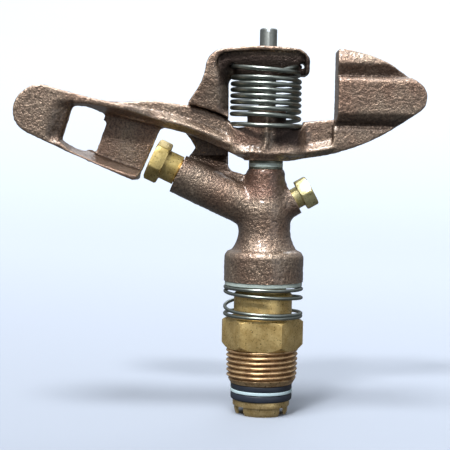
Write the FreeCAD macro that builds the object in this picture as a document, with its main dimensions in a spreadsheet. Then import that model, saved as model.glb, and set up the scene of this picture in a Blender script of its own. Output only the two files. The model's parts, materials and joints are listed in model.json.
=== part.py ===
import FreeCAD, Part
import math
import os
import Sketcher
from FreeCAD import Placement, Rotation, Vector

# Full-circle impact sprinkler. Millimetres, +Z up. The origin is on the turning axis, at the
# lower face of the inlet nipple. The spoon of the arm points to -X, its counterweight to +X.

doc = FreeCAD.newDocument("impact_sprinkler")
sheet = doc.addObject("Spreadsheet::Sheet", "Sizes")

SIZES = [
    # inlet nipple: 3/4 inch male pipe thread, hexagon and sleeve
    ("thread_radius", 13.335),
    ("thread_chamfer", 0.4),
    ("thread_top", 12.8),
    ("hex_bottom", 11.3),
    ("hex_top", 24.2),
    ("hex_flats", 26.1),
    ("hex_corner", 56.0),
    ("hex_turned_radius", 15.05),
    ("sleeve_radius", 10.75),
    ("sleeve_top", 33.4),
    # bearing stack under the nipple
    ("running_gap", 0.05),
    ("washer_radius", 11.45),
    ("upper_washer_height", 2.3),
    ("ptfe_washer_height", 1.1),
    ("lower_washer_height", 2.8),
    ("tube_radius", 8.5),
    ("waterway_radius", 6.7),
    ("tube_top", 46.0),
    ("flange_radius", 10.5),
    ("flange_height", 2.1),
    ("skirt_radius", 9.9),
    ("skirt_tip_radius", 9.3),
    ("skirt_bore_radius", 8.5),
    ("skirt_height", 3.3),
    ("spanner_slot", 5.0),
    ("spanner_slot_turn", 33.0),
    # bearing spring and its seat
    ("bearing_wire", 1.3),
    ("bearing_coil_radius", 14.1),
    ("bearing_turns", 3.5),
    ("seat_bottom", 36.0),
    ("seat_height", 1.6),
    ("seat_radius", 14.3),
    # body casting
    ("cup_radius", 14.6),
    ("neck_radius", 9.5),
    ("meeting_height", 61.8),
    ("range_elevation", 24.6),
    ("range_boss_radius", 7.3),
    ("range_boss_length", 35.5),
    ("range_bore_height", 62.9),
    ("range_thread_radius", 4.6),
    ("range_passage_radius", 4.0),
    ("spreader_elevation", 30.0),
    ("spreader_boss_radius", 5.9),
    ("spreader_boss_length", 12.3),
    ("spreader_thread_radius", 3.2),
    ("spreader_passage_radius", 2.2),
    ("pin_boss_top", 78.8),
    ("pin_boss_radius", 6.2),
    ("seal_radius", 10.3),
    ("seal_height", 2.2),
    # bridge
    ("bridge_top", 123.4),
    ("bridge_half_depth", 7.0),
    ("bridge_rim", 1.6),
    ("bridge_end", 15.0),
    ("bridge_web_front", 5.0),
    ("bridge_web_back", 3.0),
    ("bridge_face_foot", 3.6),
    ("bridge_boss_radius", 4.3),
    ("post_front", 5.6),
    ("post_back", 12.0),
    ("spring_hole_radius", 1.1),
    ("left_hole_across", -12.9),
    ("left_hole_height", 116.1),
    ("right_hole_across", 12.5),
    ("right_hole_height", 116.7),
    # fulcrum pin and the washers on it
    ("pin_radius", 3.175),
    ("pin_bottom", 70.5),
    ("pin_top", 130.2),
    ("pin_slot_width", 1.3),
    ("pin_slot_depth", 1.3),
    ("steel_washer_height", 0.8),
    ("friction_washer_height", 1.5),
    ("arm_washer_radius", 6.3),
    # impact arm
    ("hub_bottom", 81.95),
    ("hub_top", 100.0),
    ("hub_radius", 8.2),
    ("hub_upper_radius", 7.2),
    ("hub_bore_radius", 4.2),
    ("bush_length", 6.0),
    ("web_half_depth", 2.4),
    ("flange_half_depth", 5.4),
    ("flange_core_depth", 2.2),
    ("pocket_floor_depth", 0.9),
    ("band_half_depth", 8.0),
    ("weight_face", 25.4),
    ("weight_root", 23.0),
    ("spoon_half_depth", 10.0),
    ("vane_front", 1.5),
    ("vane_back", 3.7),
    ("paddle_wall", 5.0),
    ("recess_draft", 12.0),
    ("scoop_radius", 13.0),
    ("scoop_distance", 80.5),
    ("scoop_half_height", 8.0),
    # arm spring
    ("arm_wire", 1.6),
    ("arm_coil_radius", 12.15),
    ("arm_pitch", 2.2),
    ("arm_coil_bottom", 98.0),
    ("arm_coil_height", 13.2),
    # nozzles
    ("range_hex_flats", 14.0),
    ("range_hex_turned_radius", 8.0),
    ("range_hex_corner", 10.0),
    ("range_head_height", 5.1),
    ("range_neck_radius", 5.5),
    ("range_neck_height", 5.6),
    ("range_orifice_radius", 2.4),
    ("spreader_hex_flats", 11.0),
    ("spreader_hex_turned_radius", 6.2),
    ("spreader_hex_corner", 31.5),
    ("spreader_head_height", 4.6),
    ("spreader_neck_radius", 3.9),
    ("spreader_neck_height", 2.8),
    ("spreader_orifice_radius", 1.4),
    ("thread_length", 8.0),
    ("spreader_thread_length", 5.0),
    # stream straightener
    ("straightener_length", 12.0),
    ("straightener_vane", 0.8),
    ("straightener_start", 12.0),
]


class Length:
    """A size that knows its value and the sheet expression it is worked out from."""

    def __init__(self, value, text):
        self.value = value
        self.text = text

    def _join(self, other, sign, value):
        text = other.text if isinstance(other, Length) else repr(float(other))
        return Length(value, "(%s %s %s)" % (self.text, sign, text))

    def __add__(self, other):
        return self._join(other, "+", self.value + number(other))

    def __sub__(self, other):
        return self._join(other, "-", self.value - number(other))

    def __mul__(self, other):
        return self._join(other, "*", self.value * number(other))

    def __truediv__(self, other):
        return self._join(other, "/", self.value / number(other))

    def __neg__(self):
        return Length(-self.value, "(-1 * %s)" % self.text)


def number(size):
    """The plain value of a size, whether it comes from the sheet or is written out."""
    return size.value if isinstance(size, Length) else float(size)


def fill_sheet():
    """Write the driving dimensions to the sheet and give each one back as a Length."""
    sizes = {}
    for row, (alias, value) in enumerate(SIZES, start=1):
        sheet.set("A%d" % row, alias)
        sheet.set("B%d" % row, str(value))
        sheet.setAlias("B%d" % row, alias)
        sizes[alias] = Length(value, "Sizes.%s" % alias)
    doc.recompute()
    return sizes


S = fill_sheet()


def bind(item, prop, size):
    """Tie a property to the sheet when the size comes from it, or set it."""
    if isinstance(size, Length):
        item.setExpression(prop, size.text)
    else:
        setattr(item, prop, size)


def bind_offset(sketch, axis, size):
    """Move a sketch's origin along one axis of its plane."""
    text = size.text if isinstance(size, Length) else repr(float(size))
    sketch.setExpression("AttachmentOffset.Base.%s" % axis, text)


# ---- sketches ---------------------------------------------------------------------------------

def new_body(label):
    body = doc.addObject("PartDesign::Body", label)
    body.Label = label
    return body


def new_sketch(body, role="XZ_Plane", height=None, turn=None, centre=None):
    """A sketch on one of the body's own planes.

    height moves it along the plane's normal. centre, (across, up), is where its own origin
    goes, and turn turns it about that point, in degrees.
    """
    sketch = body.newObject("Sketcher::SketchObject", "%s_sketch" % body.Label)
    for plane in body.Origin.OriginFeatures:
        if plane.Role == role:
            sketch.AttachmentSupport = [(plane, "")]
    sketch.MapMode = "FlatFace"
    if turn is not None:
        sketch.AttachmentOffset = Placement(Vector(0, 0, 0), Rotation(Vector(0, 0, 1), 1.0))
        sketch.setExpression("AttachmentOffset.Rotation.Angle", turn.text)
        bind_offset(sketch, "x", centre[0])
        bind_offset(sketch, "y", centre[1])
    if height is not None:
        sketch.setExpression("AttachmentOffset.Base.z", height.text)
    return sketch


def tie_vertex(sketch, item, end, across, up):
    """Hold one end of a sketch line at its place, by the sheet where that gives the place."""
    for kind, place, axis in (("DistanceX", across, -2), ("DistanceY", up, -1)):
        if abs(number(place)) < 1e-9:
            sketch.addConstraint(Sketcher.Constraint("PointOnObject", item, end, axis))
            continue
        index = sketch.addConstraint(Sketcher.Constraint(kind, -1, 1, item, end, number(place)))
        if isinstance(place, Length):
            sketch.setExpression("Constraints[%d]" % index, place.text)


def arc_through(start, middle, end):
    """The circle through three points and whether it runs clockwise from the first."""
    flat = Part.Circle(Vector(*start, 0), Vector(*middle, 0), Vector(*end, 0))
    circle = Part.Circle(flat.Center, Vector(0, 0, 1), flat.Radius)
    turn = (middle[0] - start[0]) * (end[1] - start[1]) - (middle[1] - start[1]) * (end[0] - start[0])
    return circle, turn < 0


def outline(sketch, corners):
    """Draw one closed outline.

    Each corner is (across, up), reached by a straight line, or (across, up, via), reached by
    the arc through the point via.
    """
    places = [(number(corner[0]), number(corner[1])) for corner in corners]
    ends = []
    for index, corner in enumerate(corners):
        start = places[index - 1]
        end = places[index]
        if len(corner) == 2:
            item = sketch.addGeometry(Part.LineSegment(Vector(*start, 0), Vector(*end, 0)), False)
            ends.append((item, 1, 2))
            continue
        circle, clockwise = arc_through(start, corner[2], end)
        first, last = (end, start) if clockwise else (start, end)
        angles = [math.atan2(p[1] - circle.Center.y, p[0] - circle.Center.x) for p in (first, last)]
        item = sketch.addGeometry(Part.ArcOfCircle(circle, angles[0], angles[1]), False)
        ends.append((item, 2, 1) if clockwise else (item, 1, 2))
        sketch.addConstraint(Sketcher.Constraint("Radius", item, circle.Radius))
    for index, corner in enumerate(corners):
        item, begin, finish = ends[index]
        following = ends[(index + 1) % len(corners)]
        sketch.addConstraint(Sketcher.Constraint("Coincident", item, finish, following[0], following[1]))
        tie_vertex(sketch, item, finish, corner[0], corner[1])


def circle(sketch, radius, across=0.0, up=0.0):
    """Draw one circle."""
    place = Vector(number(across), number(up), 0)
    item = sketch.addGeometry(Part.Circle(place, Vector(0, 0, 1), number(radius)), False)
    index = sketch.addConstraint(Sketcher.Constraint("Radius", item, number(radius)))
    sketch.setExpression("Constraints[%d]" % index, radius.text)
    tie_vertex(sketch, item, 3, across, up)


def hexagon(sketch, flats, first_corner):
    """Draw a hexagon from its width across flats, with one corner at the given angle."""
    corner_radius = flats * (1.0 / math.sqrt(3.0))
    angles = [math.radians(first_corner.value + 60.0 * step) for step in range(6)]
    outline(sketch, [(corner_radius * math.cos(a), corner_radius * math.sin(a)) for a in angles])


# ---- features ---------------------------------------------------------------------------------

def volume(body):
    doc.recompute()
    return body.Shape.Volume


def feature(body, kind, sketch):
    item = body.newObject("PartDesign::%s" % kind, "%s_%s" % (body.Label, kind.lower()))
    item.Profile = sketch
    return item


def confirm(body, before, adds):
    """Stop when a feature has changed nothing, or has worked the wrong way."""
    change = volume(body) - before
    if (change if adds else -change) <= 1e-3:
        raise RuntimeError("%s: a feature changed its volume by %.4f" % (body.Label, change))


def revolve(body, sketch, adds=True):
    """Turn a sketch about its own vertical axis, as material or as a groove."""
    before = 0.0 if body.Tip is None else volume(body)
    item = feature(body, "Revolution" if adds else "Groove", sketch)
    item.ReferenceAxis = (sketch, ["V_Axis"])
    item.Angle = 360.0
    confirm(body, before, adds)


def pad(body, sketch, length, symmetric=False, reverse=False):
    before = 0.0 if body.Tip is None else volume(body)
    item = feature(body, "Pad", sketch)
    item.SideType = "Symmetric" if symmetric else "One side"
    item.Reversed = reverse
    bind(item, "Length", length)
    confirm(body, before, True)


def loft(body, first, last):
    """Join two sketches of the same number of lines by straight walls."""
    before = volume(body)
    item = feature(body, "AdditiveLoft", first)
    item.Sections = [last]
    item.Ruled = True
    confirm(body, before, True)


def pocket(body, sketch, length, symmetric=False, reverse=False, draft=None):
    """Cut a sketch to a depth, with walls that close in by the draft angle."""
    before = volume(body)
    item = feature(body, "Pocket", sketch)
    item.SideType = "Symmetric" if symmetric else "One side"
    item.Reversed = reverse
    bind(item, "Length", length)
    if draft is not None:
        bind(item, "TaperAngle", -draft)
    confirm(body, before, False)


def hexagon_flats(body, flats, first_corner, bottom, height):
    """Cut the flats of a hexagon on a turned head between two heights."""
    sketch = new_sketch(body, "XY_Plane", height=bottom)
    circle(sketch, flats)
    hexagon(sketch, flats, first_corner)
    pocket(body, sketch, height, reverse=True)


def ring(label, outer, inner, bottom, height):
    """A plain washer."""
    body = new_body(label)
    sketch = new_sketch(body, "XY_Plane", height=bottom)
    circle(sketch, outer)
    circle(sketch, inner)
    pad(body, sketch, height)
    return body


# ---- inlet and bearing ------------------------------------------------------------------------

def inlet_nipple():
    body = new_body("inlet_nipple")
    bore = S["tube_radius"] + S["running_gap"]
    chamfer = S["thread_chamfer"]
    corner = S["hex_turned_radius"]
    revolve_sketch = new_sketch(body)
    outline(revolve_sketch, [
        (bore, 0),
        (S["thread_radius"] - chamfer, 0),
        (S["thread_radius"], chamfer),
        (S["thread_radius"], S["thread_top"]),
        (corner, S["thread_top"] + 1.7),
        (corner, S["hex_top"] - 1.3),
        (corner - 2.1, S["hex_top"]),
        (S["sleeve_radius"], S["hex_top"]),
        (S["sleeve_radius"], S["sleeve_top"] - 0.6),
        (S["sleeve_radius"] - 0.6, S["sleeve_top"]),
        (bore, S["sleeve_top"]),
    ])
    revolve(body, revolve_sketch)
    hexagon_flats(body, S["hex_flats"], S["hex_corner"], S["hex_bottom"], S["hex_top"] - S["hex_bottom"])
    return body


def thrust_washers():
    """Rubber, PTFE and rubber, between the nipple's lower face and the tube's flange."""
    bore = S["tube_radius"] + S["running_gap"] * 2
    stack = [
        ("thrust_washer_upper", S["upper_washer_height"]),
        ("thrust_washer_ptfe", S["ptfe_washer_height"]),
        ("thrust_washer_lower", S["lower_washer_height"]),
    ]
    washers = []
    depth = S["upper_washer_height"]
    for index, (label, height) in enumerate(stack):
        if index > 0:
            depth = depth + height
        washers.append(ring(label, S["washer_radius"], bore, -depth, height))
    return washers


def bearing_tube():
    """The tube that hangs the head on the nipple, with four spanner slots across its end."""
    body = new_body("bearing_tube")
    flange_top = -(S["upper_washer_height"] + S["ptfe_washer_height"] + S["lower_washer_height"])
    flange_bottom = flange_top - S["flange_height"]
    tip = flange_bottom - S["skirt_height"]
    sketch = new_sketch(body)
    outline(sketch, [
        (S["skirt_bore_radius"], tip),
        (S["skirt_tip_radius"], tip),
        (S["skirt_radius"], tip + 1.6),
        (S["skirt_radius"], flange_bottom),
        (S["flange_radius"], flange_bottom),
        (S["flange_radius"], flange_top),
        (S["tube_radius"], flange_top),
        (S["tube_radius"], S["tube_top"]),
        (S["waterway_radius"], S["tube_top"]),
        (S["waterway_radius"], flange_bottom + 1.0),
        (S["skirt_bore_radius"], flange_bottom + 1.0),
    ])
    revolve(body, sketch)
    turn = math.radians(S["spanner_slot_turn"].value)
    half = S["spanner_slot"] / 2.0
    reach = S["flange_radius"] + 2.0
    half_across = half * math.sin(turn)
    half_along = half * math.cos(turn)
    out_across = reach * math.cos(turn)
    out_along = reach * math.sin(turn)
    for side in (1.0, -1.0):
        slot = new_sketch(body, "XY_Plane", height=tip - 1.0)
        outline(slot, [
            (out_across - half_across, (out_along + half_along) * side),
            (-(out_across + half_across), -(out_along - half_along) * side),
            (-(out_across - half_across), -(out_along + half_along) * side),
            (out_across + half_across, (out_along - half_along) * side),
        ])
        pocket(body, slot, S["skirt_height"] + 1.0, reverse=True)
    return body


def coil(label, wire, radius, bottom, height, turns):
    """A left-handed helical spring."""
    body = new_body(label)
    sketch = new_sketch(body)
    circle(sketch, wire / 2.0, radius, bottom)
    helix = feature(body, "AdditiveHelix", sketch)
    helix.ReferenceAxis = (sketch, ["V_Axis"])
    helix.Mode = "height-turns-angle"
    helix.LeftHanded = True
    bind(helix, "Height", height)
    bind(helix, "Turns", turns)
    doc.recompute()
    wire_length = number(turns) * 2 * math.pi * number(radius)
    expected = math.pi * (number(wire) / 2.0) ** 2 * wire_length
    if abs(body.Shape.Volume / expected - 1.0) > 0.05:
        raise RuntimeError("%s: volume %.1f, expected %.1f" % (label, body.Shape.Volume, expected))
    return body


def bearing_spring():
    wire = S["bearing_wire"]
    clear = wire / 2.0 + S["running_gap"]
    bottom = S["hex_top"] + clear
    height = S["seat_bottom"] - S["hex_top"] - clear * 2.0
    return coil("bearing_spring", wire, S["bearing_coil_radius"], bottom, height, S["bearing_turns"])


# ---- body casting -----------------------------------------------------------------------------

def boss(body, radius, length, elevation, side):
    """A round nozzle boss that leaves the meeting point at an elevation, to -X or +X."""
    turn = (-(elevation - 90.0)) if side < 0 else elevation - 90.0
    sketch = new_sketch(body, turn=turn, centre=(0, S["meeting_height"]))
    outline(sketch, [(0, 0), (radius, 0), (radius, length), (0, length)])
    revolve(body, sketch)


def bore(body, height, elevation, side, passage, thread, start, length):
    """The stepped water passage of a nozzle boss."""
    turn = (-(elevation - 90.0)) if side < 0 else elevation - 90.0
    sketch = new_sketch(body, turn=turn, centre=(0, height))
    outline(sketch, [
        (0, 0),
        (passage, 0),
        (passage, start),
        (thread, start),
        (thread, length + 1.0),
        (0, length + 1.0),
    ])
    revolve(body, sketch, adds=False)


def bridge_block(body):
    """The post and the arched top bar of the bridge, as one deep block in side view."""
    top = S["bridge_top"]
    end = S["bridge_end"]
    sketch = new_sketch(body)
    outline(sketch, [
        (-27.0, 72.0),
        (-28.6, 83.0),
        (-26.1, 86.4),
        (-28.1, 89.6),
        (-31.1, 93.0),
        (-31.1, 98.0, (-31.9, 95.5)),
        (-27.9, 104.5, (-29.9, 101.4)),
        (-22.9, 114.5, (-24.7, 109.2)),
        (-22.6, 116.4),
        (-17.2, top - 1.3, (-20.6, 120.3)),
        (9.2, top - 0.6, (-2.5, top.value)),
        (end, top - 4.5, (13.6, 121.0)),
        (end, 114.4),
        (end - 1.4, 113.1, (14.6, 113.5)),
        (-11.5, 112.6),
        (-14.3, 109.8, (-13.6, 111.8)),
        (-13.9, 81.0),
        (-11.1, 77.6, (-13.2, 78.6)),
        (-5.5, 76.0),
        (-2.5, 66.0),
    ])
    pad(body, sketch, S["post_back"] * 2.0, symmetric=True)


def bridge_side_cut(body):
    """Trim the block in end view, and clear the post's front for the arm that rests before it."""
    front = -S["bridge_half_depth"]
    rear = S["post_back"]
    away = rear + 4.0
    before_pin = new_sketch(body, "YZ_Plane")
    outline(before_pin, [
        (-away, 130.0),
        (-away, 60.0),
        (-2.5, 60.0),
        (-1.0, 77.5),
        (S["post_front"], 83.5),
        (S["post_front"], 94.0),
        (-4.4, 94.2),
        (front, 112.0),
        (front, 130.0),
    ])
    pocket(body, before_pin, 80.0, symmetric=True)
    over_arm = new_sketch(body)
    outline(over_arm, [
        (-36.0, 88.0),
        (-36.0, 103.6),
        (-24.5, 101.6, (-30.0, 102.9)),
        (-13.0, 97.2, (-18.5, 99.8)),
        (-9.0, 95.5),
        (-9.0, 88.0),
    ])
    pocket(body, over_arm, S["post_front"] * 2.0, symmetric=True)
    behind_pin = new_sketch(body, "YZ_Plane")
    outline(behind_pin, [
        (away, 130.0),
        (S["bridge_half_depth"], 130.0),
        (S["bridge_half_depth"], 114.0),
        (rear, 105.0),
        (rear, 88.0),
        (8.0, 76.0),
        (6.0, 70.0),
        (6.0, 60.0),
        (away, 60.0),
    ])
    pocket(body, behind_pin, 80.0, symmetric=True)


def bridge_recess(body, depth_side):
    """Hollow the top bar from one side, leaving a thin web under a rim.

    The rim turns down round the free end of the bar in front only.
    """
    roof = S["bridge_top"] - S["bridge_rim"]
    wall = S["bridge_end"] - 1.6 if depth_side < 0 else S["bridge_end"] + 1.0
    sketch = new_sketch(body)
    outline(sketch, [
        (-15.6, roof - 1.1, (-17.9, 119.3)),
        (8.0, roof - 0.3, (-3.0, roof.value)),
        (wall, roof - 3.0, (12.3, 120.6)),
        (wall, 108.0),
        (-13.5, 108.0),
        (-18.9, 116.9, (-17.2, 112.4)),
    ])
    web = S["bridge_web_front"] if depth_side < 0 else S["bridge_web_back"]
    before = volume(body)
    item = feature(body, "Pocket", sketch)
    item.SideType = "Two sides"
    item.Type = "Length"
    bind(item, "Length", -web if depth_side < 0 else S["bridge_half_depth"])
    bind(item, "Length2", S["bridge_half_depth"] if depth_side < 0 else -web)
    confirm(body, before, False)


def bridge_face_slope(body):
    """Lean the bar's front face back towards its lower edge."""
    left = S["left_hole_across"] - 2.0
    sketch = new_sketch(body, "YZ_Plane", height=left)
    outline(sketch, [
        (-S["bridge_web_front"] - 0.6, 120.6),
        (-S["bridge_face_foot"], 112.4),
        (-S["bridge_face_foot"], 108.0),
        (-S["bridge_half_depth"] - 2.0, 108.0),
        (-S["bridge_half_depth"] - 2.0, 120.6),
    ])
    pocket(body, sketch, S["bridge_end"] - 1.6 - left, reverse=True)


def body_casting():
    body = new_body("body_casting")
    bridge_block(body)
    bridge_side_cut(body)
    for depth_side in (-1, 1):
        bridge_recess(body, depth_side)
    bridge_face_slope(body)
    top_boss = new_sketch(body, "XY_Plane", height=S["bridge_top"])
    circle(top_boss, S["bridge_boss_radius"])
    pad(body, top_boss, 12.0, reverse=True)
    neck = S["neck_radius"]
    cup = S["cup_radius"]
    seat = S["seat_bottom"] + S["seat_height"]
    core = new_sketch(body)
    outline(core, [
        (0, seat),
        (cup, seat),
        (cup, 46.6),
        (cup - 2.6, 49.0, (13.7, 48.3)),
        (neck, 56.0, (10.4, 52.1)),
        (neck, 58.5),
        (9.8, 64.0),
        (8.0, 71.0),
        (7.3, 74.5),
        (7.1, S["pin_boss_top"] - 1.0),
        (S["pin_boss_radius"], S["pin_boss_top"]),
        (0, S["pin_boss_top"]),
    ])
    revolve(body, core)
    boss(body, S["range_boss_radius"], S["range_boss_length"], S["range_elevation"], -1)
    boss(body, S["spreader_boss_radius"], S["spreader_boss_length"], S["spreader_elevation"], 1)
    tube_bore = new_sketch(body)
    seal_top = seat + S["seal_height"]
    outline(tube_bore, [
        (0, seat),
        (S["seal_radius"], seat),
        (S["seal_radius"], seal_top),
        (S["tube_radius"], seal_top),
        (S["tube_radius"], S["tube_top"]),
        (S["waterway_radius"], S["tube_top"]),
        (S["waterway_radius"], S["meeting_height"]),
        (0, S["meeting_height"] + 4.5),
    ])
    revolve(body, tube_bore, adds=False)
    bore(body, S["range_bore_height"], S["range_elevation"], -1,
         S["range_passage_radius"], S["range_thread_radius"],
         S["range_boss_length"] - S["thread_length"], S["range_boss_length"])
    bore(body, S["meeting_height"], S["spreader_elevation"], 1,
         S["spreader_passage_radius"], S["spreader_thread_radius"],
         S["spreader_boss_length"] - S["spreader_thread_length"], S["spreader_boss_length"])
    pin_hole = new_sketch(body, "XY_Plane", height=S["pin_bottom"])
    circle(pin_hole, S["pin_radius"])
    pocket(body, pin_hole, S["pin_top"] - S["pin_bottom"], reverse=True)
    spring_holes = new_sketch(body)
    for side in ("left", "right"):
        across = S["%s_hole_across" % side]
        circle(spring_holes, S["spring_hole_radius"], across, S["%s_hole_height" % side])
    pocket(body, spring_holes, S["post_back"] * 3.0, symmetric=True)
    return body


def stream_straightener():
    """Four thin vanes in a ring, held in the range boss's passage."""
    body = new_body("stream_straightener")
    outer = S["range_passage_radius"]
    sketch = new_sketch(body, "XY_Plane")
    circle(sketch, outer)
    circle(sketch, outer - S["straightener_vane"])
    pad(body, sketch, S["straightener_length"])
    half = S["straightener_vane"] / 2.0
    reach = outer - half
    for across, up in ((reach, half), (half, reach)):
        vane = new_sketch(body, "XY_Plane")
        outline(vane, [(across, up), (-across, up), (-across, -up), (across, -up)])
        pad(body, vane, S["straightener_length"])
    stand_on_axis(body, S["range_bore_height"], S["range_elevation"], -1, S["straightener_start"])
    return body


def stand_on_axis(body, height, elevation, side, start):
    """Place a turned piece on a nozzle axis, a distance out from where it leaves the turning axis."""
    sideways = "cos(%s)" % elevation.text
    upwards = "sin(%s)" % elevation.text
    body.Placement = Placement(Vector(0, 0, 0), Rotation(Vector(0, side, 0), 1.0))
    body.setExpression("Placement.Rotation.Angle", "90 - %s" % elevation.text)
    body.setExpression("Placement.Base.x", "%d * %s * %s" % (side, start.text, sideways))
    body.setExpression("Placement.Base.z", "%s + %s * %s" % (height.text, start.text, upwards))
    doc.recompute()


def nozzle(label, thread, thread_length, neck, neck_height, turned, flats, corner, head, orifice):
    """A screwed nozzle: thread, neck and a hexagon head, bored to its orifice."""
    body = new_body(label)
    sketch = new_sketch(body)
    base = neck_height
    tip = neck_height + head
    outline(sketch, [
        (thread - 1.0, -thread_length),
        (thread, -thread_length),
        (thread, 0),
        (neck, 0),
        (neck, base),
        (turned - 0.5, base),
        (turned, base + 0.5),
        (turned, tip - 0.5),
        (turned - 0.9, tip),
        (orifice + 0.8, tip),
        (orifice, tip - 0.8),
        (orifice, tip - 3.0),
    ])
    revolve(body, sketch)
    hexagon_flats(body, flats, corner, base, head)
    return body


def range_nozzle():
    body = nozzle("range_nozzle", S["range_thread_radius"], S["thread_length"], S["range_neck_radius"],
                  S["range_neck_height"], S["range_hex_turned_radius"], S["range_hex_flats"],
                  S["range_hex_corner"], S["range_head_height"], S["range_orifice_radius"])
    stand_on_axis(body, S["range_bore_height"], S["range_elevation"], -1, S["range_boss_length"])
    return body


def spreader_nozzle():
    body = nozzle("spreader_nozzle", S["spreader_thread_radius"], S["spreader_thread_length"],
                  S["spreader_neck_radius"], S["spreader_neck_height"], S["spreader_hex_turned_radius"],
                  S["spreader_hex_flats"], S["spreader_hex_corner"], S["spreader_head_height"],
                  S["spreader_orifice_radius"])
    stand_on_axis(body, S["meeting_height"], S["spreader_elevation"], 1, S["spreader_boss_length"])
    return body


# ---- pin and arm ------------------------------------------------------------------------------

def fulcrum_pin():
    body = new_body("fulcrum_pin")
    radius = S["pin_radius"]
    sketch = new_sketch(body)
    outline(sketch, [
        (0, S["pin_bottom"]),
        (radius, S["pin_bottom"]),
        (radius, S["pin_top"] - 0.4),
        (radius - 0.4, S["pin_top"]),
        (0, S["pin_top"]),
    ])
    revolve(body, sketch)
    slot = new_sketch(body, "XY_Plane", height=S["pin_top"])
    half = S["pin_slot_width"] / 2.0
    reach = radius + 1.0
    outline(slot, [(-half, -reach), (half, -reach), (half, reach), (-half, reach)])
    pocket(body, slot, S["pin_slot_depth"])
    return body


def arm_washers():
    bore_radius = S["pin_radius"] + S["running_gap"]
    stack = [
        ("arm_washer_lower", S["steel_washer_height"]),
        ("arm_washer_friction", S["friction_washer_height"]),
        ("arm_washer_upper", S["steel_washer_height"]),
    ]
    washers = []
    bottom = S["pin_boss_top"]
    for label, height in stack:
        washers.append(ring(label, S["arm_washer_radius"], bore_radius, bottom, height))
        bottom = bottom + height
    return washers


def arm_web(body):
    """The thin web of the arm, from the spoon to the counterweight."""
    sketch = new_sketch(body)
    outline(sketch, [
        (-49.5, 96.0),
        (-63.5, 100.0),
        (-63.5, 103.0),
        (-44.8, 103.2, (-53.5, 102.5)),
        (-24.5, 100.6, (-35.5, 102.5)),
        (-13.1, 96.1, (-18.5, 98.7)),
        (13.0, 96.4),
        (26.0, 97.6),
        (32.5, 96.6),
        (24.5, 85.6),
        (-8.5, 84.0),
        (-21.5, 90.0),
    ])
    pad(body, sketch, S["web_half_depth"] * 2.0, symmetric=True)


def flange_outline(sketch):
    """The bead along the arm's lower edge, from the spoon to the counterweight."""
    outline(sketch, [
        (-49.5, 97.2),
        (-61.5, 100.6),
        (-61.5, 103.0),
        (-36.7, 98.9, (-48.3, 100.9)),
        (-11.6, 90.1, (-24.9, 95.7)),
        (-7.0, 88.2),
        (8.0, 87.6),
        (26.3, 90.6, (17.0, 88.9)),
        (27.0, 85.6),
        (0.5, 82.1, (13.6, 83.0)),
        (-14.2, 85.1, (-7.1, 82.8)),
        (-29.5, 91.4, (-21.8, 88.6)),
        (-37.5, 93.3, (-33.5, 92.5)),
    ])


def ridge_outline(sketch):
    """The narrow ridge that the bead draws in to on both sides."""
    outline(sketch, [
        (-49.5, 98.2),
        (-61.0, 100.9),
        (-61.0, 101.9),
        (-36.7, 96.5, (-48.3, 98.9)),
        (-11.6, 87.9, (-24.9, 93.1)),
        (-7.0, 86.4),
        (8.0, 85.2),
        (25.0, 88.0, (17.0, 86.1)),
        (25.3, 87.0),
        (0.5, 84.2, (13.6, 84.9)),
        (-14.2, 87.6, (-7.1, 85.4)),
        (-29.5, 93.6, (-21.8, 90.9)),
        (-37.5, 95.5, (-33.5, 94.7)),
    ])


def arm_flange(body):
    """The bead: a core of even depth, drawn in on both sides to its ridge."""
    core = S["flange_core_depth"]
    middle = new_sketch(body)
    flange_outline(middle)
    pad(body, middle, core * 2.0, symmetric=True)
    for side in (1.0, -1.0):
        base = new_sketch(body, height=core * side)
        flange_outline(base)
        crest = new_sketch(body, height=S["flange_half_depth"] * side)
        ridge_outline(crest)
        loft(body, base, crest)


def arm_hub(body):
    """Clear the web round the hub, close the clearing with a thin floor, and add the stepped hub."""
    clearing = new_sketch(body)
    outline(clearing, [
        (0, 85.6),
        (6.5, 85.6),
        (10.0, 88.2),
        (12.1, 92.0, (11.3, 90.0)),
        (13.3, 95.4),
        (13.7, 130.0),
        (0, 130.0),
    ])
    revolve(body, clearing, adds=False)
    floor = new_sketch(body)
    outline(floor, [(-14.0, 88.0), (-14.0, 94.0), (14.0, 94.3), (14.0, 88.0), (0, 84.0)])
    pad(body, floor, S["pocket_floor_depth"] * 2.0, symmetric=True)
    hub = new_sketch(body)
    outline(hub, [
        (S["hub_bore_radius"], S["hub_bottom"]),
        (S["hub_radius"] - 0.8, S["hub_bottom"]),
        (S["hub_radius"], S["hub_bottom"] + 0.8),
        (S["hub_radius"], 93.4),
        (S["hub_upper_radius"], 94.6),
        (S["hub_upper_radius"], S["hub_top"]),
        (S["hub_bore_radius"], S["hub_top"]),
    ])
    revolve(body, hub)
    hole = new_sketch(body, "XY_Plane", height=S["hub_bottom"] - 1.0)
    circle(hole, S["hub_bore_radius"])
    pocket(body, hole, 30.0, reverse=True)


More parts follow.
